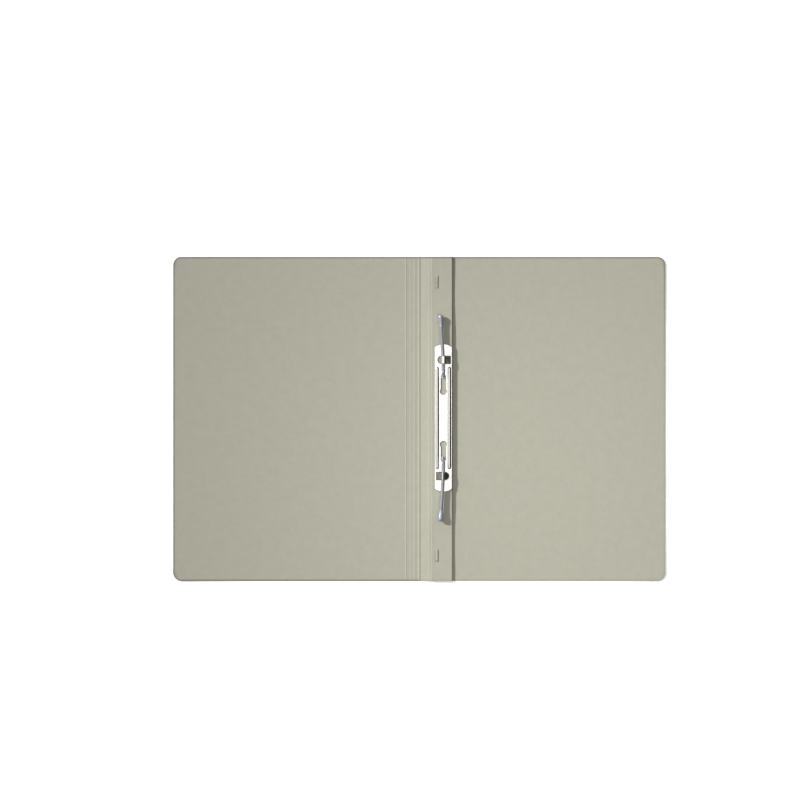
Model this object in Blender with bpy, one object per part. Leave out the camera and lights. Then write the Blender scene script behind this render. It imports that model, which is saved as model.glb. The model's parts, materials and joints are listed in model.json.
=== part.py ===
"""Card folder with a two-spiral fastener, lying open with its inside up.

The sheet is creased into panels. X runs across the folder from the front cover (-X) to the back cover (+X),
Y runs up the page and Z points away from the table. The origin is on the centre crease, on the table.
"""

import math

import bmesh
import bpy
import numpy as np
from mathutils import Matrix, Vector

MM = 0.001

# Card sheet
FOLDER_HEIGHT = 318.0 * MM
FRONT_REACH = 241.4 * MM
BACK_REACH = 241.4 * MM
CARD_THICKNESS = 0.5 * MM
CORNER_RADIUS = 8.0 * MM
CREASE_GAP = 0.6 * MM
LAYER_GAP = 0.3 * MM

# Panels beside the centre crease
SPINE_REAR_WIDTH = 9.1 * MM
SPINE_PANEL_1_WIDTH = 4.2 * MM
SPINE_PANEL_2_WIDTH = 4.4 * MM
SPINE_PANEL_3_WIDTH = 4.4 * MM

# Beads that the scoring leaves along each crease, on the inside
RIDGE_HEIGHT = 0.2 * MM
RIDGE_EDGE_HEIGHT = 0.08 * MM
RIDGE_RISE = 0.2 * MM
RIDGE_CREST = 0.25 * MM
RIDGE_FALL = 0.35 * MM

# Filing strip: the pleat that carries the fastener
RAMP_RUN = 3.45 * MM
STRIP_WIDTH = 19.65 * MM
RAMP_BEND_RADIUS = 0.8 * MM
LOWER_FOLD_INSET = 1.4 * MM
TAB_LENGTH = 12.2 * MM
TAB_WIDTH = 2.4 * MM
TAB_RISE = 0.9 * MM
TAB_RAMP = 1.6 * MM
TAB_BEND_RADIUS = 0.5 * MM
TAB_SLIT = 0.3 * MM
TAB_FROM_RAMP = 4.4 * MM
TAB_FROM_EDGE = 25.0 * MM

# Fastener, placed on the strip
MECHANISM_FROM_RAMP = 11.05 * MM
MECHANISM_SHIFT = 1.0 * MM
PRONG_SPACING = 80.0 * MM

# Base plate inside the pleat
BASE_SHEET = 0.6 * MM
BASE_DEPTH = 1.2 * MM
BASE_WIDTH = 14.6 * MM
BASE_END_MARGIN = 14.0 * MM
COLLAR_WALL = 0.6 * MM

# Cover bar
BAR_SHEET = 0.6 * MM
BAR_WIDTH = 17.5 * MM
BAR_END_ARC = 2.9 * MM
BAR_END_MARGIN = 15.6 * MM
BEAD_WIDTH = 3.5 * MM
BEAD_HEIGHT = 0.6 * MM
BEAD_EDGE_MARGIN = 1.05 * MM
BEAD_TO_WINDOW = 3.0 * MM
KEYHOLE_DIAMETER = 6.0 * MM
KEYHOLE_SLOT_WIDTH = 4.4 * MM
KEYHOLE_THROW = 14.0 * MM
KEYHOLE_END_CLEARANCE = 0.5 * MM

# Hooks lanced out of the bar
HOOK_FROM_ROOT = 16.9 * MM
HOOK_WIDTH = 7.0 * MM
HOOK_SLIT = 0.25 * MM
HOOK_ROOT_MARGIN = 1.65 * MM
HOOK_OVERHANG = 2.9 * MM
HOOK_CROWN_WIDTH = 2.6 * MM
HOOK_CROWN_DROP = 0.45 * MM
HOOK_LIP_DROP = 2.9 * MM
HOOK_CLEARANCE = 0.75 * MM
HOOK_WINDOW_REACH = 0.8 * MM
HOOK_SLOPE_RUN = 6.0 * MM
HOOK_ROOT_RADIUS = 0.8 * MM
HOOK_CROWN_RADIUS = 1.5 * MM
HOOK_LIP_RADIUS = 3.0 * MM
ROOT_OVERLAP = 0.9 * MM
WELD_INSET = 0.02 * MM

# Wire spirals and their caps
COIL_DIAMETER = 3.6 * MM
WIRE_DIAMETER = 0.65 * MM
COIL_PITCH = 1.08 * MM
POINTS_PER_CURL = 8
LEAD_OUT_TURNS = 0.25
PRONG_CLEARANCE = 0.35 * MM
PRONG_REACH = 61.5 * MM
PRONG_BOW = 2.15 * MM
PRONG_BOW_EASE = 0.75
TIP_LENGTH = 12.0 * MM
TIP_NECK_DIAMETER = 3.8 * MM
TIP_NECK_LENGTH = 2.0 * MM
TIP_DIAMETER = 5.2 * MM

# Faceting
ARC_STEPS = 10
FOLD_STEPS = 6
BEND_STEPS = 4
TIP_SEGMENTS = 20
TIP_STEPS = 5
BEAD_SEGMENTS = 16
BEAD_RINGS = 9
SMOOTH_ANGLE = math.radians(40)
MERGE_DISTANCE = 0.001 * MM

# Colours (linear), roughness and metallic value
CARD_LOOK = ((0.50, 0.49, 0.40, 1.0), 0.85, 0.0)
BAR_LOOK = ((0.82, 0.81, 0.78, 1.0), 0.22, 1.0)
WIRE_LOOK = ((0.55, 0.55, 0.60, 1.0), 0.35, 1.0)
CAP_LOOK = ((0.50, 0.53, 0.60, 1.0), 0.35, 1.0)
STEEL_LOOK = ((0.58, 0.58, 0.57, 1.0), 0.40, 1.0)

# Heights of the layers, from the table up
RETURN_LOW = CARD_THICKNESS + LAYER_GAP
BASE_LOW = RETURN_LOW + CARD_THICKNESS + LAYER_GAP
BASE_TOP = BASE_LOW + BASE_DEPTH
STRIP_LOW = BASE_TOP + LAYER_GAP
STRIP_TOP = STRIP_LOW + CARD_THICKNESS
BAR_LOW = STRIP_TOP + LAYER_GAP
BAR_TOP = BAR_LOW + BAR_SHEET
PRONG_Z = BAR_TOP + BEAD_HEIGHT + PRONG_CLEARANCE + COIL_DIAMETER / 2
HOOK_LOW = PRONG_Z + COIL_DIAMETER / 2 + HOOK_CLEARANCE

# Places across the folder
RAMP_TOP_X = SPINE_REAR_WIDTH + RAMP_RUN
STRIP_EDGE_X = RAMP_TOP_X + STRIP_WIDTH
MECHANISM_X = RAMP_TOP_X + MECHANISM_FROM_RAMP
LOWER_FOLD_X = RAMP_TOP_X + LOWER_FOLD_INSET

# Places along the fastener, from its middle
ROOT_Y = PRONG_SPACING / 2
HOOK_Y = ROOT_Y + HOOK_FROM_ROOT
BAR_HALF = HOOK_Y + BAR_END_MARGIN
COIL_RADIUS = (COIL_DIAMETER - WIRE_DIAMETER) / 2
COLLAR_BORE = COIL_DIAMETER + 2 * LAYER_GAP
COLLAR_DIAMETER = COLLAR_BORE + 2 * COLLAR_WALL
SIDES = {"upper": 1, "lower": -1}


def clear_scene():
    for old in list(bpy.data.objects):
        bpy.data.objects.remove(old, do_unlink=True)


def make_material(name, look):
    colour, roughness, metallic = look
    material = bpy.data.materials.new(name)
    material.use_nodes = True
    shader = material.node_tree.nodes["Principled BSDF"]
    shader.inputs["Base Color"].default_value = colour
    shader.inputs["Roughness"].default_value = roughness
    shader.inputs["Metallic"].default_value = metallic
    material.diffuse_color = colour
    return material


def add_object(name, data, material, location=(0, 0, 0), parent=None):
    """Links an object whose location is a world point, also under a parent that only shifts."""
    thing = bpy.data.objects.new(name, data)
    bpy.context.scene.collection.objects.link(thing)
    data.materials.append(material)
    place = Vector(location)
    if parent is not None:
        thing.parent = parent
        ancestor = parent
        while ancestor is not None:
            place = place - ancestor.location
            ancestor = ancestor.parent
    thing.location = place
    return thing


def finish_mesh(name, shape, smooth_angle=None):
    bmesh.ops.recalc_face_normals(shape, faces=shape.faces)
    mesh = bpy.data.meshes.new(name)
    shape.to_mesh(mesh)
    shape.free()
    if smooth_angle is not None:
        mesh.shade_smooth()
        mesh.set_sharp_from_angle(angle=smooth_angle)
    return mesh


def add_cutter(name, shape):
    """A helper solid for a Boolean: not rendered and shown as wire."""
    cutter = bpy.data.objects.new(name, finish_mesh(name, shape))
    bpy.context.scene.collection.objects.link(cutter)
    cutter.hide_render = True
    cutter.display_type = "WIRE"
    return cutter


def add_boolean(thing, cutter, operation):
    modifier = thing.modifiers.new(cutter.name, "BOOLEAN")
    modifier.operation = operation
    modifier.solver = "EXACT"
    modifier.object = cutter


def prism(outline, lift):
    """Closed prism: the outline is a list of 3-D points, swept along the vector lift."""
    shape = bmesh.new()
    base = shape.faces.new([shape.verts.new(point) for point in outline])
    swept = bmesh.ops.extrude_face_region(shape, geom=[base])
    moved = [item for item in swept["geom"] if isinstance(item, bmesh.types.BMVert)]
    bmesh.ops.translate(shape, verts=moved, vec=lift)
    return shape


def plan_prism(outline, low, high):
    return prism([(x, y, low) for x, y in outline], Vector((0, 0, high - low)))


def join_shapes(shapes):
    """One bmesh that holds several separate solids."""
    together = bmesh.new()
    for shape in shapes:
        mesh = bpy.data.meshes.new("joined")
        shape.to_mesh(mesh)
        shape.free()
        together.from_mesh(mesh)
        bpy.data.meshes.remove(mesh)
    return together


def arc(centre, radius, start, end, steps):
    """Points of an arc in a plane, with angles in radians, both ends included."""
    angles = np.linspace(start, end, steps + 1)
    return [(centre[0] + radius * math.cos(a), centre[1] + radius * math.sin(a)) for a in angles]


def filleted(corners, radii):
    """A polyline through 2-D corners, each inner corner rounded with its own radius."""
    points = [Vector(corners[0])]
    for before, corner, after, radius in zip(corners, corners[1:], corners[2:], radii):
        corner = Vector(corner)
        inward = (Vector(before) - corner).normalized()
        onward = (Vector(after) - corner).normalized()
        half = inward.angle(onward) / 2
        reach = radius / math.tan(half)
        centre = corner + (inward + onward).normalized() * (radius / math.sin(half))
        first = corner + inward * reach - centre
        last = corner + onward * reach - centre
        turn = first.angle_signed(last)
        for step in range(BEND_STEPS + 1):
            spin = Matrix.Rotation(-turn * step / BEND_STEPS, 2)
            points.append(centre + spin @ first)
    points.append(Vector(corners[-1]))
    return points


def line_normals(midline):
    """Unit normals at each point of a 2-D line, to its left, and the mitre factor there."""
    normals = []
    for index, point in enumerate(midline):
        before = midline[max(index - 1, 0)]
        after = midline[min(index + 1, len(midline) - 1)]
        steps = [step.normalized() for step in (point - before, after - point) if step.length > 0]
        mean = sum(steps, Vector((0, 0))).normalized()
        mitre = 1 / mean.dot(steps[0])
        normals.append(Vector((-mean.y, mean.x)) * mitre)
    return normals


def sheet_outline(midline, thickness):
    """Closed 2-D outline of a bent sheet, given its middle line."""
    normals = line_normals(midline)
    left = [point + normal * thickness / 2 for point, normal in zip(midline, normals)]
    right = [point - normal * thickness / 2 for point, normal in zip(midline, normals)]
    return left + right[::-1]


def extrude_along_page(outline):
    """A profile in X and Z, swept over the folder's height."""
    bottom = -FOLDER_HEIGHT / 2
    return prism([(x, bottom, z) for x, z in outline], Vector((0, FOLDER_HEIGHT, 0)))


def ridge_points(start, direction):
    """Inner face of a panel at a crease: a low bead, from the panel's edge inwards."""
    crest_start = start + direction * RIDGE_RISE
    crest_end = crest_start + direction * RIDGE_CREST
    flat = crest_end + direction * RIDGE_FALL
    return [(start, RIDGE_EDGE_HEIGHT), (crest_start, RIDGE_HEIGHT), (crest_end, RIDGE_HEIGHT), (flat, 0)]


def panel_outline(width, far_ridge):
    """Profile of a panel that runs to -X from its own crease, with the crease line at (0, 0)."""
    near = -CREASE_GAP / 2
    far = -width + (CREASE_GAP / 2 if far_ridge else 0)
    top = ridge_points(near, -1)
    if far_ridge:
        top += ridge_points(far, 1)[::-1]
    else:
        top.append((far, 0))
    return top + [(far, -CARD_THICKNESS), (near, -CARD_THICKNESS)]


def corner_cutter(name, edge_x, side):
    """Waste outside the two rounded corners on one free edge. side is the edge's sign in X."""
    cutters = []
    spare = CORNER_RADIUS / 2
    for up in (1, -1):
        corner_y = up * FOLDER_HEIGHT / 2
        centre = (edge_x - side * CORNER_RADIUS, corner_y - up * CORNER_RADIUS)
        round_part = []
        for step in range(ARC_STEPS + 1):
            angle = math.pi / 2 * step / ARC_STEPS
            x = centre[0] + side * CORNER_RADIUS * math.cos(angle)
            y = centre[1] + up * CORNER_RADIUS * math.sin(angle)
            round_part.append((x, y))
        beyond = [
            (centre[0], corner_y + up * spare),
            (edge_x + side * spare, corner_y + up * spare),
            (edge_x + side * spare, centre[1]),
        ]
        cutters.append(plan_prism(round_part + beyond, -spare, spare))
    return add_cutter(name, join_shapes(cutters))


def build_front_panels(card, root):
    """The panels that fold: each has its origin on its own crease, on the inner face."""
    widths = [
        ("spine_rear", SPINE_REAR_WIDTH),
        ("spine_panel_1", SPINE_PANEL_1_WIDTH),
        ("spine_panel_2", SPINE_PANEL_2_WIDTH),
        ("spine_panel_3", SPINE_PANEL_3_WIDTH),
    ]
    crease_x = SPINE_REAR_WIDTH
    parent = root
    for name, width in widths:
        shape = extrude_along_page(panel_outline(width, far_ridge=True))
        mesh = finish_mesh(name, shape)
        parent = add_object(name, mesh, card, (crease_x, 0, CARD_THICKNESS), parent)
        crease_x -= width

    width = FRONT_REACH + crease_x
    mesh = finish_mesh("front_cover", extrude_along_page(panel_outline(width, far_ridge=False)))
    cover = add_object("front_cover", mesh, card, (crease_x, 0, CARD_THICKNESS), parent)
    add_boolean(cover, corner_cutter("front_corners", -FRONT_REACH, -1), "DIFFERENCE")


def build_back_cover(card):
    left = LOWER_FOLD_X + LAYER_GAP
    outline = [(left, 0), (BACK_REACH, 0), (BACK_REACH, CARD_THICKNESS), (left, CARD_THICKNESS)]
    mesh = finish_mesh("back_cover", extrude_along_page(outline))
    cover = add_object("back_cover", mesh, card)
    add_boolean(cover, corner_cutter("back_corners", BACK_REACH, 1), "DIFFERENCE")
    return cover


def fold_midline(start, centre, radius, first_angle, last_angle):
    """A flat layer from start, then the half turn of a fold around centre."""
    turn = arc(centre, radius, first_angle, last_angle, FOLD_STEPS)
    return [Vector(start)] + [Vector(point) for point in turn]


def build_pleat_return(card, root):
    """The hidden layer that comes back under the strip and turns down into the back cover."""
    layer_z = RETURN_LOW + CARD_THICKNESS / 2
    cover_z = CARD_THICKNESS / 2
    radius = (layer_z - cover_z) / 2
    start = (strip_fold_x() - LAYER_GAP, layer_z)
    centre = (LOWER_FOLD_X, (layer_z + cover_z) / 2)
    midline = fold_midline(start, centre, radius, math.pi / 2, math.pi * 3 / 2)
    mesh = finish_mesh("pleat_return", extrude_along_page(sheet_outline(midline, CARD_THICKNESS)))
    add_object("pleat_return", mesh, card, parent=root)


def strip_fold_radius():
    return (STRIP_LOW - RETURN_LOW) / 2


def strip_fold_x():
    """Where the strip's rolled right edge starts to turn."""
    return STRIP_EDGE_X - strip_fold_radius() - CARD_THICKNESS / 2


def tab_places():
    return [FOLDER_HEIGHT / 2 - TAB_FROM_EDGE, TAB_FROM_EDGE - FOLDER_HEIGHT / 2]


def bent_tongue(stations, thickness):
    """Loft of a bent strip. A station is (middle point, half width vector, unit normal)."""
    shape = bmesh.new()
    rings = []
    for middle, half_width, normal in stations:
        lift = normal * thickness / 2
        corners = [middle + half_width + lift, middle - half_width + lift]
        corners += [middle - half_width - lift, middle + half_width - lift]
        rings.append([shape.verts.new(corner) for corner in corners])
    for ring, following in zip(rings, rings[1:]):
        for index in range(4):
            after = (index + 1) % 4
            shape.faces.new((ring[index], ring[after], following[after], following[index]))
    shape.faces.new(rings[0])
    shape.faces.new(rings[-1][::-1])
    return shape


def tab_shape(middle_x, middle_y):
    """A bridge lanced up out of the strip: cut along its two long sides, joined at both ends."""
    half = TAB_LENGTH / 2
    low = STRIP_LOW + CARD_THICKNESS / 2
    high = low + TAB_RISE
    corners = [
        (-half - ROOT_OVERLAP, low),
        (-half, low),
        (-half + TAB_RAMP, high),
        (half - TAB_RAMP, high),
        (half, low),
        (half + ROOT_OVERLAP, low),
    ]
    midline = filleted(corners, [TAB_BEND_RADIUS] * 4)
    across = Vector((TAB_WIDTH / 2, 0, 0))
    stations = []
    for point, normal in zip(midline, line_normals(midline)):
        middle = Vector((middle_x, middle_y + point.x, point.y))
        stations.append((middle, across, Vector((0, normal.x, normal.y))))
    return bent_tongue(stations, CARD_THICKNESS - 2 * WELD_INSET)


def rectangle(centre, width, height):
    left, right = centre[0] - width / 2, centre[0] + width / 2
    low, high = centre[1] - height / 2, centre[1] + height / 2
    return [(left, low), (right, low), (right, high), (left, high)]


def circle(centre, diameter):
    return arc(centre, diameter / 2, 0, 2 * math.pi, 2 * ARC_STEPS)[:-1]


def build_filing_strip(card, root):
    """Ramp, strip and rolled right edge as one bent sheet, with prong holes and bridge tabs."""
    radius = strip_fold_radius()
    low_z = CARD_THICKNESS / 2
    top_z = STRIP_LOW + CARD_THICKNESS / 2
    foot_x = SPINE_REAR_WIDTH + CREASE_GAP / 2
    bend = RAMP_BEND_RADIUS
    corners = [(foot_x, low_z), (foot_x + bend, low_z), (RAMP_TOP_X, top_z), (strip_fold_x(), top_z)]
    rise = filleted(corners, [bend, bend])
    centre = (strip_fold_x(), top_z - radius)
    nose = arc(centre, radius, math.pi / 2, -math.pi / 2, FOLD_STEPS)
    midline = rise + [Vector(point) for point in nose[1:]]
    mesh = finish_mesh("filing_strip", extrude_along_page(sheet_outline(midline, CARD_THICKNESS)))
    strip = add_object("filing_strip", mesh, card, parent=root)

    spare = CARD_THICKNESS
    cuts = []
    for side in SIDES.values():
        place = (MECHANISM_X, MECHANISM_SHIFT + side * ROOT_Y)
        hole = circle(place, COLLAR_DIAMETER + 2 * LAYER_GAP)
        cuts.append(plan_prism(hole, STRIP_LOW - spare / 2, STRIP_TOP + spare))
    tab_x = RAMP_TOP_X + TAB_FROM_RAMP
    for tab_y in tab_places():
        slot = rectangle((tab_x, tab_y), TAB_WIDTH + 2 * TAB_SLIT, TAB_LENGTH)
        cuts.append(plan_prism(slot, STRIP_LOW - spare / 2, STRIP_TOP + spare))
    add_boolean(strip, add_cutter("strip_cuts", join_shapes(cuts)), "DIFFERENCE")
    tabs = join_shapes([tab_shape(tab_x, tab_y) for tab_y in tab_places()])
    add_boolean(strip, add_cutter("strip_tabs", tabs), "UNION")


def build_base_plate(steel, root):
    """Shallow steel channel in the pleat, with a drawn collar around each spiral's foot."""
    length = PRONG_SPACING + 2 * BASE_END_MARGIN
    outline = rectangle((0, 0), BASE_WIDTH, length)
    mesh = finish_mesh("base_plate", plan_prism(outline, BASE_LOW, BASE_TOP))
    place = (MECHANISM_X, MECHANISM_SHIFT, 0)
    plate = add_object("base_plate", mesh, steel, place, root)

    inside = rectangle((0, 0), BASE_WIDTH - 2 * BASE_SHEET, length + BASE_SHEET)
    hollow = plan_prism(inside, BASE_LOW - BASE_SHEET, BASE_TOP - BASE_SHEET)
    cutter = add_cutter("base_channel", hollow)
    cutter.location = place
    add_boolean(plate, cutter, "DIFFERENCE")
    collar_low = BASE_TOP - BASE_SHEET / 2
    collars = []
    bores = []
    for side in SIDES.values():
        place = (MECHANISM_X, MECHANISM_SHIFT + side * ROOT_Y)
        collars.append(plan_prism(circle(place, COLLAR_DIAMETER), collar_low, STRIP_TOP))
        bores.append(plan_prism(circle(place, COLLAR_BORE), BASE_TOP, STRIP_TOP + BASE_SHEET))
    add_boolean(plate, add_cutter("base_collars", join_shapes(collars)), "UNION")
    add_boolean(plate, add_cutter("base_bores", join_shapes(bores)), "DIFFERENCE")


def bar_outline():
    """Plan of the bar: straight sides and shallow round ends."""
    half = BAR_WIDTH / 2
    radius = (half * half + BAR_END_ARC * BAR_END_ARC) / (2 * BAR_END_ARC)
    reach = math.asin(half / radius)
    top = arc((0, BAR_HALF - radius), radius, math.pi / 2 - reach, math.pi / 2 + reach, ARC_STEPS)
    return top + [(-x, -y) for x, y in top]


def bead_shape(radius, half_length, centre_x, centre_z):
    """A capsule along Y: a sphere of an odd number of rings, drawn apart at its middle."""
    shape = bmesh.new()
    full = radius / math.cos(math.pi / 2 / BEAD_RINGS)
    bmesh.ops.create_uvsphere(shape, u_segments=BEAD_SEGMENTS, v_segments=BEAD_RINGS, radius=full)
    bmesh.ops.rotate(shape, verts=shape.verts, matrix=Matrix.Rotation(math.pi / 2, 3, "X"))
    stretch = half_length - radius
    for vert in shape.verts:
        vert.co.y += math.copysign(stretch, vert.co.y)
    bmesh.ops.translate(shape, verts=shape.verts, vec=(centre_x, 0, centre_z))
    return shape


def keyhole_outline(side):
    """Round entry and the slot that runs out from it to the prong's root."""
    round_radius = KEYHOLE_DIAMETER / 2
    slot_radius = KEYHOLE_SLOT_WIDTH / 2
    entry = math.asin(slot_radius / round_radius)
    inner = ROOT_Y - KEYHOLE_THROW
    outer = ROOT_Y + KEYHOLE_END_CLEARANCE
    up = math.pi / 2
    points = arc((0, inner), round_radius, up + entry, up + 2 * math.pi - entry, 2 * ARC_STEPS)
    points += arc((0, outer), slot_radius, 0, math.pi, ARC_STEPS)
    return [(side * x, side * y) for x, y in points]


def hook_root_x():
    return BAR_WIDTH / 2 - HOOK_ROOT_MARGIN


def hook_end_x():
    return -(COIL_DIAMETER / 2 + HOOK_OVERHANG)


def window_outline(side):
    """The gap that a hook leaves in the bar: square at the hook's root, round at its free end."""
    radius = HOOK_WIDTH / 2 + HOOK_SLIT
    centre = (hook_end_x() - HOOK_WINDOW_REACH + radius, HOOK_Y)
    points = arc(centre, radius, math.pi / 2, math.pi * 3 / 2, ARC_STEPS)
    points += [(hook_root_x(), HOOK_Y - radius), (hook_root_x(), HOOK_Y + radius)]
    return [(side * x, side * y) for x, y in points]


def hook_shape(side):
    """Tongue that rises from the bar to a crown, and curves down over the prong to its round free end."""
    low = BAR_LOW + BAR_SHEET / 2
    high = HOOK_LOW + BAR_SHEET / 2
    root = hook_root_x()
    crown = root - HOOK_SLOPE_RUN
    radius = HOOK_WIDTH / 2
    end = hook_end_x()
    corners = [
        (root + ROOT_OVERLAP, low),
        (root, low),
        (crown, high),
        (crown - HOOK_CROWN_WIDTH, high - HOOK_CROWN_DROP),
        (end, high - HOOK_LIP_DROP),
    ]
    arch = filleted(corners, [HOOK_ROOT_RADIUS, HOOK_CROWN_RADIUS, HOOK_LIP_RADIUS])
    round_from = end + radius
    midline = [point for point in arch if point.x > round_from]
    widths = [radius] * len(midline)
    xs = [point.x for point in reversed(arch)]
    zs = [point.y for point in reversed(arch)]
    for step in range(ARC_STEPS):
        angle = math.pi / 2 * step / ARC_STEPS
        x = round_from - radius * math.sin(angle)
        midline.append(Vector((x, np.interp(x, xs, zs))))
        widths.append(radius * math.cos(angle))
    stations = []
    for point, normal, half_width in zip(midline, line_normals(midline), widths):
        middle = Vector((side * point.x, side * HOOK_Y, point.y))
        across = Vector((0, half_width, 0))
        stations.append((middle, across, Vector((side * normal.x, 0, normal.y))))
    return bent_tongue(stations, BAR_SHEET - 2 * WELD_INSET)


def build_cover_bar(nickel, root):
    """Pressed bar: plate, two hollow beads, two keyholes and two lanced hooks."""
    place = (MECHANISM_X, MECHANISM_SHIFT, 0)
    spare = BAR_SHEET
    mesh = finish_mesh("cover_bar", plan_prism(bar_outline(), BAR_LOW - spare, BAR_TOP))
    bar = add_object("cover_bar", mesh, nickel, place, root)

    bead_x = BAR_WIDTH / 2 - BEAD_EDGE_MARGIN - BEAD_WIDTH / 2
    bead_half = HOOK_Y - HOOK_WIDTH / 2 - HOOK_SLIT - BEAD_TO_WINDOW
    outer = (BEAD_WIDTH * BEAD_WIDTH / 4 + BEAD_HEIGHT * BEAD_HEIGHT) / (2 * BEAD_HEIGHT)
    centre_z = BAR_TOP + BEAD_HEIGHT - outer
    overlap = outer - BEAD_WIDTH / 2
    beads = [bead_shape(outer, bead_half + overlap, x, centre_z) for x in (bead_x, -bead_x)]
    hollow_half = bead_half + overlap - BAR_SHEET
    hollows = [bead_shape(outer - BAR_SHEET, hollow_half, x, centre_z) for x in (bead_x, -bead_x)]

    cuts = [plan_prism(keyhole_outline(side), BAR_LOW - spare, BAR_TOP + spare) for side in SIDES.values()]
    cuts += [plan_prism(window_outline(side), BAR_LOW - spare, BAR_TOP + spare) for side in SIDES.values()]
    hooks = [hook_shape(side) for side in SIDES.values()]
    waste = rectangle((0, 0), 2 * BAR_WIDTH, 2 * BAR_HALF + BAR_WIDTH)
    below = plan_prism(waste, BAR_LOW - 2 * outer, BAR_LOW)

    steps = [
        ("bar_beads", join_shapes(beads), "UNION"),
        ("bar_underside", below, "DIFFERENCE"),
        ("bar_bead_hollows", join_shapes(hollows), "DIFFERENCE"),
        ("bar_cuts", join_shapes(cuts), "DIFFERENCE"),
        ("bar_hooks", join_shapes(hooks), "UNION"),
    ]
    for name, shape, operation in steps:
        cutter = add_cutter(name, shape)
        cutter.location = place
        add_boolean(bar, cutter, operation)


def prong_point(distance, side):
    """Centre line of a spiral from the top of its collar: point and unit direction, from its root."""
    bend_radius = PRONG_Z - STRIP_TOP
    arc_length = bend_radius * math.pi / 2
    if distance <= 0:
        return Vector((0, 0, STRIP_TOP + distance)), Vector((0, 0, 1)), 0.0
    if distance < arc_length:
        angle = distance / bend_radius
        y = bend_radius * (1 - math.cos(angle))
        z = STRIP_TOP + bend_radius * math.sin(angle)
        return Vector((0, side * y, z)), Vector((0, side * math.sin(angle), math.cos(angle))), 1 / bend_radius
    run = distance - arc_length
    full_run = PRONG_REACH - TIP_LENGTH - bend_radius
    share = run / full_run
    bow = PRONG_BOW * share * share * (1 + PRONG_BOW_EASE * (1 - share))
    lean = PRONG_BOW * share * (2 + PRONG_BOW_EASE * (2 - 3 * share)) / full_run
    point = Vector((-bow, side * (bend_radius + run), PRONG_Z))
    direction = Vector((-lean, side, 0)).normalized()
    return point, direction, 0.0


def prong_length():
    """Length of the centre line from the collar's top to the back of the tip."""
    bend_radius = PRONG_Z - STRIP_TOP
    return bend_radius * math.pi / 2 + PRONG_REACH - TIP_LENGTH - bend_radius


def coil_points(side):
    """The wire of one spiral: straight at both ends, and wound in between.

    In the bend the pitch grows, so that the turns keep their distance on the inner side.
    """
    first = BASE_TOP + LAYER_GAP - STRIP_TOP
    last = prong_length() - LAYER_GAP
    step_angle = 2 * math.pi / POINTS_PER_CURL
    lead_out = LEAD_OUT_TURNS * COIL_PITCH + WIRE_DIAMETER
    places = [(first, 0.0), (first + WIRE_DIAMETER, 0.0)]
    distance = first + lead_out
    angle = step_angle
    while distance < last - lead_out:
        places.append((distance, angle))
        curvature = prong_point(distance, side)[2]
        distance += COIL_PITCH / POINTS_PER_CURL / (1 - curvature * COIL_RADIUS)
        angle += step_angle
    places += [(last - WIRE_DIAMETER, angle), (last, angle)]

    points = []
    across = Vector((1, 0, 0))
    for distance, angle in places:
        centre, direction, _ = prong_point(distance, side)
        out = across - direction * across.dot(direction)
        out.normalize()
        other = direction.cross(out)
        points.append(centre + COIL_RADIUS * (math.cos(angle) * out + math.sin(angle) * other))
    return points


def least_gap(points):
    """Smallest clear distance between turns of one wire, measured on its points."""
    cloud = np.array([tuple(point) for point in points])
    apart = np.linalg.norm(cloud[:, None, :] - cloud[None, :, :], axis=2)
    index = np.arange(len(cloud))
    near = np.abs(index[:, None] - index[None, :]) <= POINTS_PER_CURL // 2
    apart[near] = np.inf
    return apart.min() - WIRE_DIAMETER


def build_spiral(name, side, wire, root):
    points = coil_points(side)
    curve = bpy.data.curves.new(name, "CURVE")
    curve.dimensions = "3D"
    curve.bevel_depth = WIRE_DIAMETER / 2
    curve.bevel_resolution = 1
    curve.use_fill_caps = True
    spline = curve.splines.new("POLY")
    spline.points.add(len(points) - 1)
    for slot, point in zip(spline.points, points):
        slot.co = (*point, 1.0)
    spline.use_smooth = True
    place = (MECHANISM_X, MECHANISM_SHIFT + side * ROOT_Y, 0)
    add_object(name, curve, wire, place, root)
    curls = (len(points) - 4) / POINTS_PER_CURL
    print(f"{name}: {curls:.1f} curls, least gap between turns {least_gap(points) / MM:.2f} mm")


def build_tip(name, side, cap, root):
    """Turned cap: a slim neck at the spiral that swells towards a round nose."""
    neck = TIP_NECK_DIAMETER / 2
    belly = TIP_DIAMETER / 2
    belly_at = TIP_LENGTH - belly
    profile = [(0.0, 0.0), (neck, 0.0)]
    for step in range(TIP_STEPS):
        share = step / TIP_STEPS
        swell = (1 - math.cos(math.pi * share)) / 2
        y = TIP_NECK_LENGTH + share * (belly_at - TIP_NECK_LENGTH)
        profile.append((neck + swell * (belly - neck), y))
    profile += arc((0.0, belly_at), belly, 0, math.pi / 2, TIP_STEPS)
    shape = bmesh.new()
    verts = [shape.verts.new((r, side * y, 0.0)) for r, y in profile]
    edges = [shape.edges.new(pair) for pair in zip(verts, verts[1:])]
    bmesh.ops.spin(
        shape,
        geom=verts + edges,
        cent=(0, 0, 0),
        axis=(0, 1, 0),
        angle=2 * math.pi,
        steps=TIP_SEGMENTS,
        use_merge=True,
    )
    bmesh.ops.remove_doubles(shape, verts=shape.verts, dist=MERGE_DISTANCE)
    mesh = finish_mesh(name, shape, smooth_angle=SMOOTH_ANGLE)
    back, direction, _ = prong_point(prong_length(), side)
    place = Vector((MECHANISM_X, MECHANISM_SHIFT + side * ROOT_Y, 0)) + back
    tip = add_object(name, mesh, cap, place, root)
    tip.rotation_euler = (0, 0, math.atan2(-side * direction.x, side * direction.y))


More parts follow.
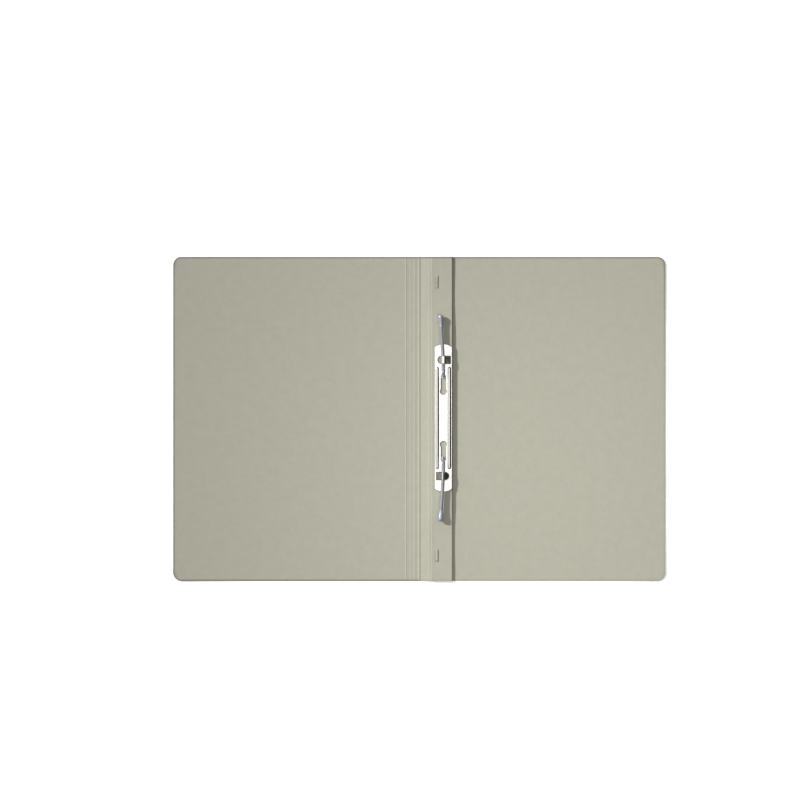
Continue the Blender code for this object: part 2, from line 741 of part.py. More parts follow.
def main():
    clear_scene()
    card = make_material("card", CARD_LOOK)
    nickel = make_material("nickel", BAR_LOOK)
    wire = make_material("spiral_wire", WIRE_LOOK)
    cap = make_material("spiral_cap", CAP_LOOK)
    steel = make_material("base_steel", STEEL_LOOK)

    root = build_back_cover(card)
    build_pleat_return(card, root)
    build_filing_strip(card, root)
    build_front_panels(card, root)
    build_base_plate(steel, root)
    build_cover_bar(nickel, root)
    for word, side in SIDES.items():
        build_spiral(f"spiral_{word}", side, wire, root)
        build_tip(f"tip_{word}", side, cap, root)


main()
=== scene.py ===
"""Looks of a card folder that lies open, with its two-spiral fastener.

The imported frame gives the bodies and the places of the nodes. Every piece here is a mesh in metres in the
same frame: X across the folder from the front cover to the back cover, Y up the page, Z off the table.
"""

import json
import math

import bmesh
import bpy
import numpy as np
from mathutils import Matrix, Vector


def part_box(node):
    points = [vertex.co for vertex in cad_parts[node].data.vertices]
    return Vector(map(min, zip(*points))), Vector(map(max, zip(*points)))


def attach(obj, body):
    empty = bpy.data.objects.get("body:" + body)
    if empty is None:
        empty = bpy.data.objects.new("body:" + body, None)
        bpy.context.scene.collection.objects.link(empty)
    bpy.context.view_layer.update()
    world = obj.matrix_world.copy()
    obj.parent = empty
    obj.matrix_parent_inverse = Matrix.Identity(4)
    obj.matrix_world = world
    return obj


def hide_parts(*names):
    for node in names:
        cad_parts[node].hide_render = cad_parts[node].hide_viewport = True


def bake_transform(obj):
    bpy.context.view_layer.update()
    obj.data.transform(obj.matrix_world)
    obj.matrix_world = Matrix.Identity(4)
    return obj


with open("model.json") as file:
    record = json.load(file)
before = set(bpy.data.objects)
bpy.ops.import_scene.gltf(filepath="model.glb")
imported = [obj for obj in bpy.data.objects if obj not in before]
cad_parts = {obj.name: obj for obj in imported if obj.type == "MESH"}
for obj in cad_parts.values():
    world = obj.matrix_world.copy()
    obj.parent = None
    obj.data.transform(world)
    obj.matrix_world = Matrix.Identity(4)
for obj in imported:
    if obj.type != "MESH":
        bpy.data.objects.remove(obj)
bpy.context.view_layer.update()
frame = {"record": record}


def linear(red, green, blue):
    """An sRGB colour from 0 to 255 as a linear RGBA colour."""
    shares = [value / 255 for value in (red, green, blue)]
    line = [s / 12.92 if s <= 0.04045 else ((s + 0.055) / 1.055) ** 2.4 for s in shares]
    return (*line, 1.0)


MM = 0.001

# Places read from the frame
CREASE_X = {
    joint["name"]: joint["pos_m"][0]
    for joint in frame["record"]["behaviour"]["joints"]
    if joint["type"] == "hinge"
}
BACK_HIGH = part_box("back_cover")[1]
FRONT_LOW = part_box("front_cover")[0]
RETURN_LOW, RETURN_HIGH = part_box("pleat_return")
STRIP_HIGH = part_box("filing_strip")[1]
BASE_LOW, BASE_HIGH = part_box("base_plate")
BAR_LOW, BAR_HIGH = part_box("cover_bar")
TIP_LOW, TIP_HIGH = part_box("tip_upper")
PAGE_HALF = BACK_HIGH[1]
INNER_FACE = BACK_HIGH[2]
MECHANISM_X = (BASE_LOW[0] + BASE_HIGH[0]) / 2
MECHANISM_Y = (BASE_LOW[1] + BASE_HIGH[1]) / 2
SIDES = {"upper": 1, "lower": -1}

# Card sheet
OUTER_FACE = 0.03 * MM
CARD = INNER_FACE - OUTER_FACE
MIDDLE = OUTER_FACE + CARD / 2
LAYER_GAP = 0.3 * MM
CORNER_RADIUS = 8.0 * MM
EDGE_ROUND = 0.12 * MM
RIM_WIDTH = 2.0 * MM
# Weight of the painted edge shade up the page, from -1 at its foot to 1 at its head
EDGE_SHADE_KNOTS = (-1.0, 0.3, 1.0)
EDGE_SHADE_WEIGHTS = (0.3, 0.3, 1.0)
BEAD_WIDTH = 0.6 * MM
FINE_STEP = 0.11 * MM
FINE_REACH = 1.1 * MM
COVER_STEP = 7.0 * MM
PAGE_ROWS = 44
CORNER_STEPS = 12

# Height of the score beads, and how far the creases and the centre ridge stand off the table
BEAD_HEIGHT = {
    "rear_crease": 0.05 * MM,
    "centre_crease": 0.05 * MM,
    "fill_score_1": 0.10 * MM,
    "fill_score_2": 0.10 * MM,
    "front_crease": 0.17 * MM,
}
CREASE_LIFT = {
    "rear_crease": 1.15 * MM,
    "fill_score_1": 0.16 * MM,
    "fill_score_2": 0.06 * MM,
    "front_crease": 0.14 * MM,
}
# Centre ridge: distance from the crease, and lift
CENTRE_RIDGE = ((-1.2 * MM, 0.10 * MM), (-0.2 * MM, 0.42 * MM), (1.7 * MM, 0.06 * MM))
FLAT_FROM_CREASE = 30.0 * MM
COVER_LIFT = 0.8 * MM
COVER_LIFT_FROM = 110.0 * MM
COVER_LIFT_MIDDLE = 0.55
WAVE_HEIGHT = 0.08 * MM
WAVE_LENGTH = 95.0 * MM
WAVE_SLANT = 3.0

# Filing strip: the pleat that carries the fastener
RAMP_RUN = 3.45 * MM
RAMP_BEND_RADIUS = 0.8 * MM
# Distance over which the painted shade on the ramp fades in
RAMP_SHADE_EASE = 0.6 * MM
CREASE_BEND_RADIUS = 0.5 * MM
STRIP_TOP = BAR_LOW[2] - LAYER_GAP
STRIP_MIDDLE = STRIP_TOP - CARD / 2
RETURN_MIDDLE = RETURN_HIGH[2] - CARD / 2
RAMP_TOP_X = CREASE_X["rear_crease"] + RAMP_RUN
NOSE_RADIUS = (STRIP_MIDDLE - RETURN_MIDDLE) / 2
NOSE_REACH = 0.6 * MM
NOSE_X = STRIP_HIGH[0] + NOSE_REACH - NOSE_RADIUS - CARD / 2
TURN_RADIUS = (RETURN_MIDDLE - MIDDLE) / 2
TURN_X = RETURN_LOW[0] + TURN_RADIUS + CARD / 2
# Share of its full height that the strip keeps, by distance from the fastener's middle
STRIP_KNOTS = (0.0, 80.0 * MM, 118.0 * MM, 158.0 * MM)
STRIP_SHARES = (1.0, 1.0, 0.58, 0.74)
RAMP_BEAD = 0.10 * MM
# Weight of the painted shade along the strip's nose, up the page from -1 at its foot to 1 at its head
NOSE_SHADE_KNOTS = (-1.0, -0.6, 1.0)
NOSE_SHADE_WEIGHTS = (0.4, 0.9, 1.0)
FOLD_STEPS = 14
BEND_STEPS = 6

# Bridge tabs lanced out of the strip, and the holes for the spirals
TAB_LENGTH = 12.2 * MM
TAB_WIDTH = 2.4 * MM
TAB_RISE = 0.9 * MM
TAB_RAMP = 1.6 * MM
TAB_BEND_RADIUS = 0.5 * MM
TAB_SLIT = 0.3 * MM
TAB_OPEN_SIDE = 0.9 * MM
TAB_FROM_RAMP = 4.4 * MM
TAB_FROM_EDGE = 25.0 * MM
TAB_ROOT = 0.8 * MM
TAB_X = RAMP_TOP_X + TAB_FROM_RAMP
PRONG_HOLE = 6.0 * MM

# Fastener
PRONG_SPACING = 80.0 * MM
ROOT_Y = PRONG_SPACING / 2
BAR_SHEET = 0.6 * MM
BAR_ROUND = 0.4 * MM
BAR_ROUND_DEPTH = 0.3 * MM
BAR_HALF_WIDTH = (BAR_HIGH[0] - BAR_LOW[0]) / 2
BAR_HALF = (BAR_HIGH[1] - BAR_LOW[1]) / 2
BAR_BASE = BAR_LOW[2]
BAR_TOP = BAR_BASE + BAR_SHEET
BAR_END_ARC = 2.9 * MM
RIB_WIDTH = 3.5 * MM
RIB_HEIGHT = 0.6 * MM
RIB_EDGE_MARGIN = 1.05 * MM
RIB_TO_WINDOW = 3.0 * MM
RIB_SEGMENTS = 40
RIB_RINGS = 21
KEYHOLE_DIAMETER = 6.0 * MM
KEYHOLE_SLOT = 4.4 * MM
KEYHOLE_THROW = 14.0 * MM
KEYHOLE_END_CLEARANCE = 0.5 * MM

# Hooks lanced out of the bar
HOOK_FROM_ROOT = 16.9 * MM
HOOK_Y = ROOT_Y + HOOK_FROM_ROOT
HOOK_WIDTH = 7.0 * MM
HOOK_SLIT = 0.25 * MM
HOOK_ROOT_MARGIN = 1.65 * MM
HOOK_ROOT_X = BAR_HALF_WIDTH - HOOK_ROOT_MARGIN
HOOK_END_X = -4.7 * MM
HOOK_WINDOW_REACH = 0.8 * MM
HOOK_SLOPE_RUN = 6.0 * MM
HOOK_CROWN_WIDTH = 2.6 * MM
HOOK_CROWN_DROP = 0.45 * MM
HOOK_LIP_DROP = 2.9 * MM
HOOK_EDGE = 0.14 * MM
HOOK_ROOT_RADIUS = 0.8 * MM
HOOK_CROWN_RADIUS = 1.5 * MM
HOOK_LIP_RADIUS = 3.0 * MM
HOOK_ROOT_OVERLAP = 0.9 * MM
HOOK_CLEARANCE = 0.74 * MM
WELD_INSET = 0.02 * MM
ARC_STEPS = 18

# Spirals and their caps
COIL_DIAMETER = 3.6 * MM
WIRE_DIAMETER = 0.60 * MM
COIL_PITCH = 0.645 * MM
COIL_RADIUS = (COIL_DIAMETER - WIRE_DIAMETER) / 2
POINTS_PER_CURL = 16
WIRE_SIDES = 8
UPRIGHT_LIMIT = 0.1
PRONG_Z = (TIP_LOW[2] + TIP_HIGH[2]) / 2
PRONG_REACH = TIP_HIGH[1] - MECHANISM_Y - ROOT_Y
PRONG_BOW = 2.15 * MM
PRONG_BOW_EASE = 0.75
COIL_SUNK = 0.5 * MM
COIL_INTO_CAP = 0.4 * MM
TIP_LENGTH = 12.0 * MM
TIP_NECK_DIAMETER = 3.8 * MM
TIP_NECK_LENGTH = 2.0 * MM
TIP_DIAMETER = 5.2 * MM
TIP_RING_DEPTH = 0.16 * MM
TIP_RING_FROM = 0.3
TIP_RING_SPAN = 0.5
TIP_SEGMENTS = 40
TIP_STEPS = 16

# Print on the outer face of the front cover, as distances from the centre crease and the page's middle
PRINT_LOW = 0.006 * MM
PRINT_HIGH = 0.05 * MM
PRINT_STEP = 6.0 * MM
RULE_WIDTH = 1.1 * MM
SPINE_RULE_X = 22.2 * MM
SPINE_RULE_TOP = 149.6 * MM
SPINE_RULE_BOTTOM = -119.6 * MM
LINE_WIDTH = 0.75 * MM
LINE_START_X = 123.6 * MM
LINE_END_X = 224.0 * MM
TITLE_LINES_Y = (95.0 * MM, 75.3 * MM)
NOTE_LINES_TOP = -75.8 * MM
NOTE_LINE_STEP = 15.4 * MM
NOTE_LINE_COUNT = 4
MARK_X = (28.5 * MM, 41.0 * MM)
MARK_Y = (145.9 * MM, 149.6 * MM)

# Camera: straight down, with the photograph's frame
FRAME_WIDTH = 785.0 * MM
FRAME_CENTRE = (-18.9 * MM, 18.6 * MM)
CAMERA_HEIGHT = 3.0
SENSOR_WIDTH = 36.0
CLIP_END = 100.0
SHARP_ANGLE = math.radians(32)
BAR_SHARP_ANGLE = math.radians(14)

# Looks: tones are sRGB from 0 to 255, scales are per metre
CARD_LOW_TONE = linear(165, 163, 148)
CARD_HIGH_TONE = linear(168, 166, 151)
CARD_PALE_FIBRE = linear(192, 190, 175)
CARD_DARK_FIBRE = linear(138, 136, 122)
CARD_CREASE_TONE = linear(178, 176, 161)
# Painted shade: darker tone for the card's cut edges and the strip's nose
CARD_EDGE_SHADE_TONE = linear(92, 90, 78)
# Painted shade: darker tone that dims the ramp, which faces the key light
CARD_RAMP_SHADE_TONE = linear(152, 150, 136)
CREASE_SHARE = 0.35
# Share of the painted edge shade where it is fullest
EDGE_SHADE_SHARE = 0.9
FIBRE_SHARE = 0.35
CLOUD_SCALE = 110.0
CLOUD_DETAIL = 3.0
CLOUD_RANGE = (0.35, 0.65)
GRAIN_SCALE = 1600.0
GRAIN_DETAIL = 4.0
GRAIN_RANGE = (0.3, 0.7)
GRAIN_DEPTH = 0.03 * MM
FIBRE_SCALE = 1100.0
FIBRE_DETAIL = 2.0
FIBRE_RANGE = (0.60, 0.72)
FIBRE_STRETCH = (3.0, 0.4, 1.0)
FIBRE_TURN = 0.7
FIBRE_RELIEF = 0.6
NOISE_ROUGHNESS = 0.6
CARD_ROUGHNESS = (0.74, 0.90)
CARD_SPECULAR = 0.25
CARD_BUMP = 0.35
NICKEL_TONE = linear(236, 233, 226)
WIRE_TONE = linear(182, 182, 190)
CAP_TONE = linear(160, 164, 176)
STEEL_TONE = linear(196, 196, 194)
WIRE_METAL = 0.6
CAP_METAL = 0.35
NICKEL_ROUGHNESS = (0.10, 0.22)
WIRE_ROUGHNESS = (0.32, 0.48)
CAP_ROUGHNESS = (0.30, 0.42)
STEEL_ROUGHNESS = (0.35, 0.50)
METAL_DULL = 0.93
LINE_SCALE = 400.0
LINE_DETAIL = 3.0
SMEAR_SCALE = 90.0
SMEAR_DETAIL = 2.0
GLOSS_SHARE = 0.5
GLOSS_RANGE = (0.35, 0.65)
SCRATCH_DEPTH = 0.004 * MM
SCRATCH_BUMP = 0.25
ALONG_Y = (0.07, 1.6, 0.07)
EVEN = (1.0, 1.0, 1.0)
WHITE = (1.0, 1.0, 1.0, 1.0)
INK_TONE = linear(28, 28, 30)
INK_THIN_TONE = linear(82, 80, 74)
INK_DETAIL = 3.0
INK_THIN_RANGE = (0.5, 0.75)
INK_THIN_SHARE = 0.35
INK_ROUGHNESS = 0.7
FLOOR_TONE = linear(247, 247, 247)
FLOOR_ROUGHNESS = 0.9
FLOOR_GLOW = 0.35
FLOOR_SIZE = 40.0
FLOOR_DROP = 0.05 * MM

# Light
KEY_ELEVATION = math.radians(32)
KEY_WAY = (-13.0, 7.0)
KEY_BEARING = math.atan2(KEY_WAY[1], KEY_WAY[0])
KEY_FROM = (
    math.cos(KEY_ELEVATION) * math.cos(KEY_BEARING),
    math.cos(KEY_ELEVATION) * math.sin(KEY_BEARING),
    math.sin(KEY_ELEVATION),
)
KEY_ANGLE = math.radians(4)
KEY_STRENGTH = 3.95
FILL_SIZE = (0.30, 0.42)
FILL_PLACE = (0.10, -0.07, 0.35)
FILL_POWER = 0.66
SHINE_SIZE = (0.185, 0.34)
SHINE_PLACE = (-0.0475, 0.0, 0.33)
SHINE_POWER = 0.29
ROOM_SIDE = (-0.88, 0.47, 0.0)
ROOM_EDGE = (-0.28, 0.02)
ROOM_DARK = 0.05
ROOM_BRIGHT = 0.24
WALL_EDGE = (0.45, 0.90)
WALL_GLOW = 0.8
HORIZON = (0.1, 0.6)
HORIZON_GLOW = 0.18


# Mesh helpers


def add_piece(name, vertices, faces):
    """A mesh object from points and faces, its faces turned outward."""
    mesh = bpy.data.meshes.new(name)
    mesh.from_pydata([tuple(vertex) for vertex in vertices], [], faces)
    shape = bmesh.new()
    shape.from_mesh(mesh)
    bmesh.ops.recalc_face_normals(shape, faces=shape.faces)
    shape.to_mesh(mesh)
    shape.free()
    thing = bpy.data.objects.new(name, mesh)
    bpy.context.scene.collection.objects.link(thing)
    return thing


def join_parts(parts):
    """Points and faces of several meshes as those of one."""
    vertices = []
    faces = []
    for part_vertices, part_faces in parts:
        first = len(vertices)
        vertices += list(part_vertices)
        faces += [[first + index for index in face] for face in part_faces]
    return vertices, faces


def loft(rings):
    """Closed mesh through rings of equal length, with a flat face on each end."""
    size = len(rings[0])
    vertices = [point for ring in rings for point in ring]
    faces = []
    for row in range(len(rings) - 1):
        for index in range(size):
            after = (index + 1) % size
            low = row * size
            high = low + size
            faces.append((low + index, low + after, high + after, high + index))
    faces.append(tuple(range(size)))
    last = len(vertices) - size
    faces.append(tuple(range(last, last + size))[::-1])
    return vertices, faces


def stack(outlines):
    """Loft of plan outlines, each with its height."""
    return loft([[(x, y, height) for x, y in outline] for outline, height in outlines])


def combine(thing, parts, operation):
    """Add or cut the given meshes to or from a piece, for good."""
    tool = add_piece("tool", *join_parts(parts))
    step = thing.modifiers.new("step", "BOOLEAN")
    step.operation = operation
    step.solver = "EXACT"
    step.object = tool
    graph = bpy.context.evaluated_depsgraph_get()
    mesh = bpy.data.meshes.new_from_object(thing.evaluated_get(graph))
    thing.modifiers.clear()
    old = thing.data
    thing.data = mesh
    mesh.name = thing.name
    for spare in (old, tool.data):
        bpy.data.meshes.remove(spare)


def shift(thing, x, y):
    thing.data.transform(Matrix.Translation((x, y, 0)))


def dress(thing, material, sharp=SHARP_ANGLE):
    """Give a piece its material, and smooth faces with crisp edges."""
    thing.data.materials.clear()
    thing.data.materials.append(material)
    thing.data.shade_smooth()
    thing.data.set_sharp_from_angle(angle=sharp)
    return thing


def arc(centre, radius, start, end, steps):
    angles = np.linspace(start, end, steps + 1)
    return [(centre[0] + radius * math.cos(a), centre[1] + radius * math.sin(a)) for a in angles]


def rounded(before, corner, after, radius, steps=BEND_STEPS):
    """Points of the bend that replaces a corner of a line in a plane."""
    before, corner, after = Vector(before), Vector(corner), Vector(after)
    coming = (corner - before).normalized()
    going = (after - corner).normalized()
    reach = radius * math.tan(coming.angle(going) / 2)
    start = corner - coming * reach
    end = corner + going * reach
    points = []
    for step in range(steps + 1):
        share = step / steps
        points.append(start.lerp(corner, share).lerp(corner.lerp(end, share), share))
    return [tuple(point) for point in points]


def bent_line(corners, radii):
    """A line in a plane with its inner corners rounded."""
    points = [tuple(corners[0])]
    for index, radius in enumerate(radii, start=1):
        points += rounded(corners[index - 1], corners[index], corners[index + 1], radius)
    return points + [tuple(corners[-1])]


def line_normals(line):
    """Normals to the left of a line in a plane, longer at bends so that offsets keep their distance."""
    points = np.array(line)
    steps = np.diff(points, axis=0)
    steps /= np.linalg.norm(steps, axis=1)[:, None]
    coming = np.vstack((steps[:1], steps))
    going = np.vstack((steps, steps[-1:]))
    middle = coming + going
    middle /= np.linalg.norm(middle, axis=1)[:, None]
    spread = (middle * coming).sum(axis=1)[:, None]
    return np.column_stack((-middle[:, 1], middle[:, 0])) / spread


def bent_strip(line, place, half_widths, thickness, edge):
    """Closed strip of sheet along a line in a plane, its long edges eased.

    place turns (along the line, across, up) into a point of the frame.
    """
    rings = []
    for point, normal, half in zip(line, line_normals(line), half_widths):
        ease = min(edge, half / 2)
        ring = []
        for across, up in (
            (half - ease, 1.0),
            (ease - half, 1.0),
            (-half, 1.0 - 2 * edge / thickness),
            (-half, 2 * edge / thickness - 1.0),
            (ease - half, -1.0),
            (half - ease, -1.0),
            (half, 2 * edge / thickness - 1.0),
            (half, 1.0 - 2 * edge / thickness),
        ):
            along = point[0] + normal[0] * up * thickness / 2
            height = point[1] + normal[1] * up * thickness / 2
            ring.append(place(along, across, height))
        rings.append(ring)
    return loft(rings)


# Card sheet


def page_shares():
    """Places up the page from -1 to 1, with a row close to each edge."""
    inner = 1 - RIM_WIDTH / PAGE_HALF
    return np.concatenate(([-1.0], np.linspace(-inner, inner, PAGE_ROWS), [1.0]))


def cover_rise(x, y):
    """How far a cover's free side stands up off the table, with a slow wave in it."""
    share = max(0.0, abs(x) - COVER_LIFT_FROM) / (BACK_HIGH[0] - COVER_LIFT_FROM)
    ends = COVER_LIFT_MIDDLE + (1 - COVER_LIFT_MIDDLE) * (y / PAGE_HALF) ** 2
    wave = WAVE_HEIGHT * (1 + math.sin(2 * math.pi * (y + x / WAVE_SLANT) / WAVE_LENGTH))
    return share * share * (COVER_LIFT * ends + wave)


def panel_height(x):
    """Middle of the card across the spine, which is lifted at the creases."""
    knots = [(CREASE_X[name], lift) for name, lift in CREASE_LIFT.items()]
    knots += [(CREASE_X["centre_crease"] + offset, lift) for offset, lift in CENTRE_RIDGE]
    knots.append((CREASE_X["front_crease"] - FLAT_FROM_CREASE, 0.0))
    places, lifts = zip(*sorted(knots))
    return MIDDLE + float(np.interp(x, places, lifts))


def score_bead(x):
    """Height of the small bead that a score leaves in the card."""
    beads = [BEAD_HEIGHT[name] * math.exp(-(((x - CREASE_X[name]) / BEAD_WIDTH) ** 2)) for name in CREASE_X]
    return sum(beads)


def spaced(line):
    """The same line with points close together at the creases, and further apart away from them."""
    out = [tuple(line[0])]
    for start, end in zip(line, line[1:]):
        length = math.dist(start, end)
        done = 0.0
        while True:
            x = start[0] + (end[0] - start[0]) * done / length
            near = min(abs(x - place) for place in CREASE_X.values())
            done += min(COVER_STEP, FINE_STEP + max(0.0, near - FINE_REACH) / 2)
            if done >= length - FINE_STEP / 2:
                break
            share = done / length
            out.append((start[0] + (end[0] - start[0]) * share, start[1] + (end[1] - start[1]) * share))
        out.append(tuple(end))
    return out


def cover_end(edge_x, height):
    """Points and half heights of a cover's rounded corners, towards its free edge."""
    inward = -math.copysign(CORNER_RADIUS, edge_x)
    line = []
    halves = []
    for step in range(CORNER_STEPS):
        angle = math.pi / 2 * step / CORNER_STEPS
        line.append((edge_x + inward * (1 - math.sin(angle)), height))
        halves.append(PAGE_HALF - CORNER_RADIUS * (1 - math.cos(angle)))
    return line, halves


def card_sheet(name, line, free_edge=None):
    """Closed card sheet along a middle line of (x, z) points, swept up the page.

    With a free edge, the sheet ends there in rounded corners. Its other ends are flat and meet the
    next sheet.
    """
    line = [(x, z + score_bead(x)) for x, z in spaced(line)]
    halves = [PAGE_HALF] * len(line)
    if free_edge is not None:
        end_line, end_halves = cover_end(free_edge, line[-1][1])
        line = line[:-1] + end_line
        halves = halves[:-1] + end_halves
    shares = page_shares()
    rows = len(shares)
    ring = 2 * rows + 2
    vertices = []
    for (x, z), normal, half in zip(line, line_normals(line) * CARD / 2, halves):
        pages = (half - EDGE_ROUND) * shares
        vertices += [(x + normal[0], y, z + normal[1] + cover_rise(x, y)) for y in pages]
        vertices.append((x, half, z + cover_rise(x, half)))
        vertices += [(x - normal[0], y, z - normal[1] + cover_rise(x, y)) for y in pages[::-1]]
        vertices.append((x, -half, z + cover_rise(x, half)))
    faces = []
    for row in range(len(line) - 1):
        for index in range(ring):
            after = (index + 1) % ring
            low = row * ring
            high = low + ring
            faces.append((low + index, low + after, high + after, high + index))

    def flat_end(first):
        """Faces across the card's thickness: upper row, lower row and the two page edges."""
        found = [(j, j + 1, 2 * rows - j - 1, 2 * rows - j) for j in range(rows - 1)]
        found += [(rows - 1, rows, rows + 1), (0, 2 * rows, 2 * rows + 1)]
        return [tuple(first + index for index in face) for face in found]

    faces += flat_end(0)
    last = len(vertices) - ring
    if free_edge is None:
        faces += flat_end(last)
    else:
        rim = len(vertices)
        z = line[-1][1]
        for share in shares:
            y = (PAGE_HALF - CORNER_RADIUS) * share
            vertices.append((free_edge, y, z + cover_rise(free_edge, y)))
        for j in range(rows - 1):
            faces.append((last + j, last + j + 1, rim + j + 1, rim + j))
            faces.append((rim + j, rim + j + 1, last + 2 * rows - j - 1, last + 2 * rows - j))
        faces.append((last + rows - 1, last + rows, rim + rows - 1))
        faces.append((last + rows, last + rows + 1, rim + rows - 1))
        faces.append((last, rim, last + 2 * rows + 1))
        faces.append((last + 2 * rows + 1, rim, last + 2 * rows))
    return add_piece(name, vertices, faces)


def card_marks(thing):
    """Store each point's rest place, its nearness to a crease, and weights of painted shade on the cut edge,
    nose and ramp.
    """
    mesh = thing.data
    points = np.array([vertex.co for vertex in mesh.vertices])
    x, y, z = points.T
    crease = np.zeros(len(points))
    for place in CREASE_X.values():
        crease = np.maximum(crease, np.exp(-(((x - place) / BEAD_WIDTH) ** 2)) * (z < STRIP_MIDDLE))
    past_x = np.abs(x) - (BACK_HIGH[0] - CORNER_RADIUS)
    past_y = np.abs(y) - (PAGE_HALF - CORNER_RADIUS)
    corner = np.hypot(np.maximum(past_x, 0), np.maximum(past_y, 0))
    inside = CORNER_RADIUS - np.where((past_x > 0) & (past_y > 0), corner, np.maximum(past_x, past_y))
    page = y / PAGE_HALF
    # Painted shade along the cut edges, weighted up the page on the back, and along the strip's nose
    rim = np.clip(1 - inside / RIM_WIDTH, 0, 1)
    rim *= np.where(x < 0, 1, np.interp(page, EDGE_SHADE_KNOTS, EDGE_SHADE_WEIGHTS))
    nose = np.clip((x - STRIP_HIGH[0]) / (NOSE_REACH / 2), 0, 1) * np.interp(page, NOSE_SHADE_KNOTS, NOSE_SHADE_WEIGHTS)
    on_nose = (x < STRIP_HIGH[0] + 2 * NOSE_REACH) & (z > RETURN_LOW[2])
    rim = np.maximum(rim, nose * on_nose)
    # Painted shade on the ramp, which faces the key light, kept to the upper sheet
    ramp = np.minimum(x - CREASE_X["rear_crease"], RAMP_TOP_X - x) / RAMP_SHADE_EASE
    ramp = np.clip(ramp, 0, 1) * (z > RETURN_HIGH[2])
    for mark, values in (("crease", crease), ("rim", rim), ("ramp", ramp)):
        mesh.attributes.new(mark, "FLOAT", "POINT").data.foreach_set("value", values.astype(np.float32))
    rest = mesh.attributes.new("rest", "FLOAT_VECTOR", "POINT")
    rest.data.foreach_set("vector", points.astype(np.float32).ravel())


def panel_line(*places):
    return [(x, panel_height(x)) for x in places]


def seam_x(one, other):
    """Middle of the panel between two creases, where two sheets meet."""
    return (CREASE_X[one] + CREASE_X[other]) / 2


def back_line():
    """Middle of the rear sheet: half a spine panel, ramp, strip, nose, return, turn and back cover."""
    seam = seam_x("rear_crease", "centre_crease")
    corners = panel_line(seam, CREASE_X["rear_crease"])
    corners += [(RAMP_TOP_X, STRIP_MIDDLE), (NOSE_X, STRIP_MIDDLE)]
    rise = bent_line(corners, [CREASE_BEND_RADIUS, RAMP_BEND_RADIUS])
    quarter = math.pi / 2
    nose = arc((NOSE_X, STRIP_MIDDLE - NOSE_RADIUS), NOSE_RADIUS, quarter, -quarter, FOLD_STEPS)
    turn = arc((TURN_X, MIDDLE + TURN_RADIUS), TURN_RADIUS, quarter, 3 * quarter, FOLD_STEPS)
    return rise[:-1] + nose + turn + [(BACK_HIGH[0] - CORNER_RADIUS, MIDDLE)]


def strip_share(y):
    """How much of its full height the strip keeps up the page: most where the fastener holds it."""
    away = abs(y - MECHANISM_Y)
    share = STRIP_SHARES[-1]
    for index in range(len(STRIP_KNOTS) - 1, 0, -1):
        start, end = STRIP_KNOTS[index - 1], STRIP_KNOTS[index]
        if away <= end:
            part = max(0.0, (away - start) / (end - start))
            ease = part * part * (3 - 2 * part)
            share = STRIP_SHARES[index - 1] + (STRIP_SHARES[index] - STRIP_SHARES[index - 1]) * ease
    return share


def settle_strip(thing):
    """Lower the strip towards the page's ends, and raise a small bead along the top of its ramp."""
    base = RETURN_HIGH[2]
    for vertex in thing.data.vertices:
        x, y, z = vertex.co
        if z > base and x < STRIP_HIGH[0] + 2 * NOSE_REACH:
            bead = RAMP_BEAD * math.exp(-(((x - RAMP_TOP_X) / BEAD_WIDTH) ** 2))
            vertex.co.z = base + (z - base) * strip_share(y) + bead


def rectangle(centre, width, height):
    left, right = centre[0] - width / 2, centre[0] + width / 2
    low, high = centre[1] - height / 2, centre[1] + height / 2
    return [(left, low), (right, low), (right, high), (left, high)]


def bridge_tab(tab_y):
    """Bridge cut free along its two long sides and pushed up out of the strip."""
    half = TAB_LENGTH / 2
    high = STRIP_MIDDLE + TAB_RISE
    corners = [
        (-half - TAB_ROOT, STRIP_MIDDLE),
        (-half, STRIP_MIDDLE),
        (-half + TAB_RAMP, high),
        (half - TAB_RAMP, high),
        (half, STRIP_MIDDLE),
        (half + TAB_ROOT, STRIP_MIDDLE),
    ]
    line = bent_line(corners, [TAB_BEND_RADIUS] * 4)
    widths = [TAB_WIDTH / 2] * len(line)

    def place(along, across, height):
        return (TAB_X + across, tab_y + along, height)

    return bent_strip(line, place, widths, CARD - 2 * WELD_INSET, EDGE_ROUND / 2)


